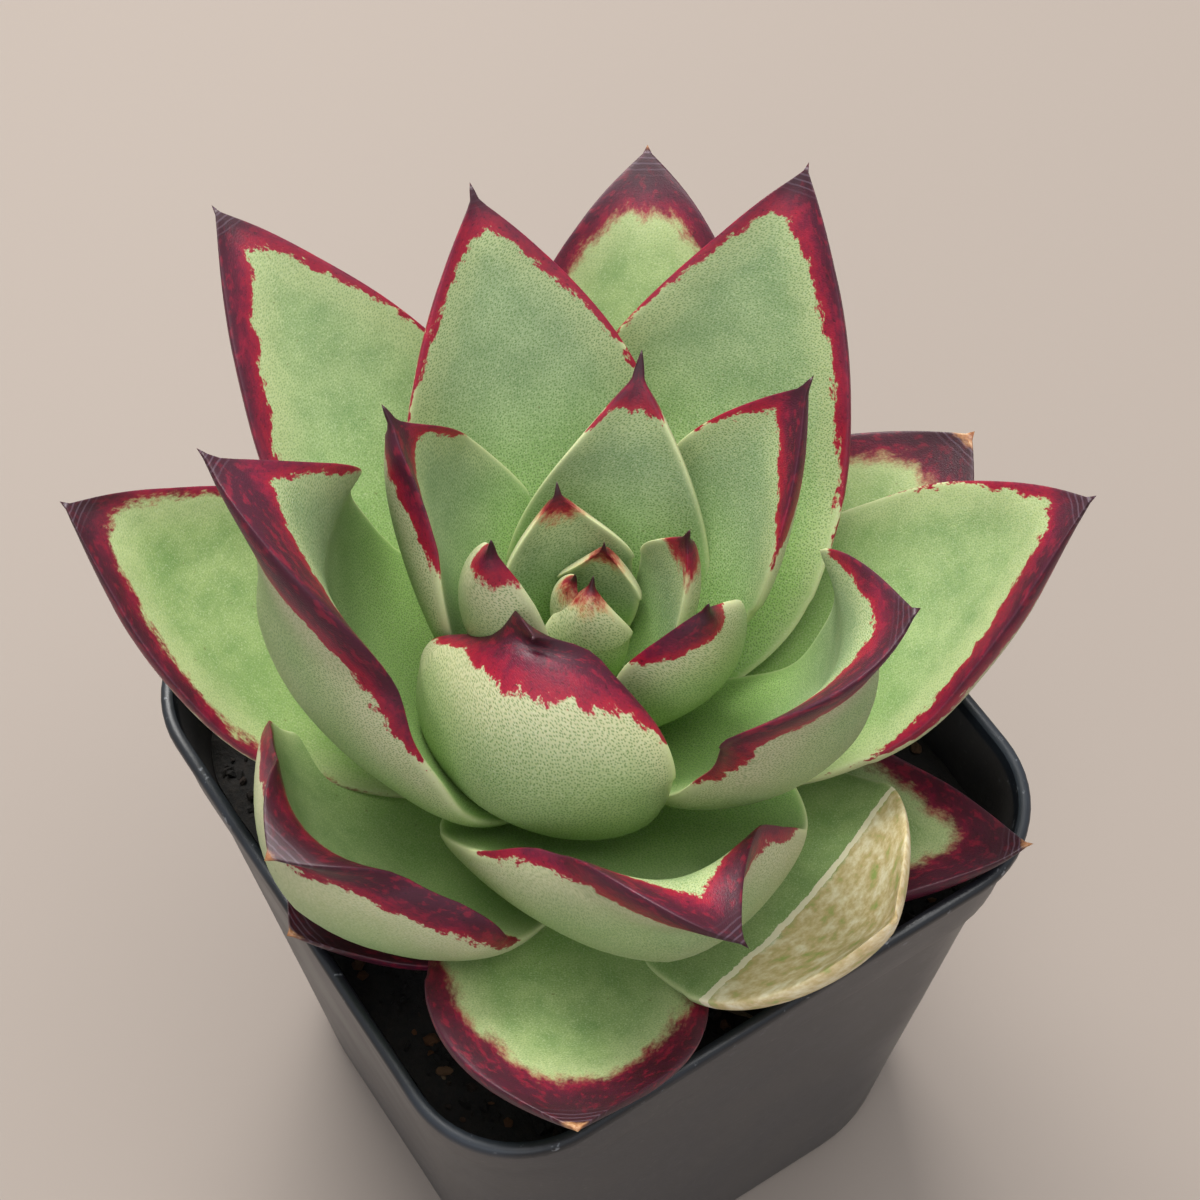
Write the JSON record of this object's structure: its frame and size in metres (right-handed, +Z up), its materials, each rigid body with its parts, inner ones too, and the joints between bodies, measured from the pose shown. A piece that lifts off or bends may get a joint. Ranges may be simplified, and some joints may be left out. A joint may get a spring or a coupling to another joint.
{
  "type": "potted succulent",
  "caption": "Rosette succulent with thick pointed leaves edged in dark red, standing in a square tapered nursery pot filled with potting mix.",
  "frame": {"origin": "middle of the pot's foot, at the height of the surface it stands on", "axes": "+Z up, out of the pot; X and Y along the sides of the square pot"},
  "size_m": [0.1163, 0.1085, 0.1542],
  "materials": {
    "pot": "satin",
    "soil": "matte",
    "stem": "satin",
    "leaf": "satin"
  },
  "bodies": {
    "root": {"pot": "pot", "soil": "soil", "stem": "stem", "leaf_01": "leaf", "leaf_02": "leaf", "leaf_03": "leaf", "leaf_04": "leaf", "leaf_05": "leaf", "leaf_06": "leaf", "leaf_07": "leaf", "leaf_08": "leaf", "leaf_09": "leaf", "leaf_10": "leaf", "leaf_11": "leaf", "leaf_12": "leaf", "leaf_13": "leaf", "leaf_14": "leaf", "leaf_15": "leaf", "leaf_16": "leaf", "leaf_17": "leaf", "leaf_18": "leaf", "leaf_19": "leaf", "leaf_20": "leaf", "leaf_21": "leaf", "leaf_22": "leaf", "leaf_23": "leaf", "leaf_24": "leaf", "leaf_25": "leaf", "leaf_26": "leaf", "leaf_27": "leaf", "leaf_28": "leaf"}
  },
  "joints": []
}
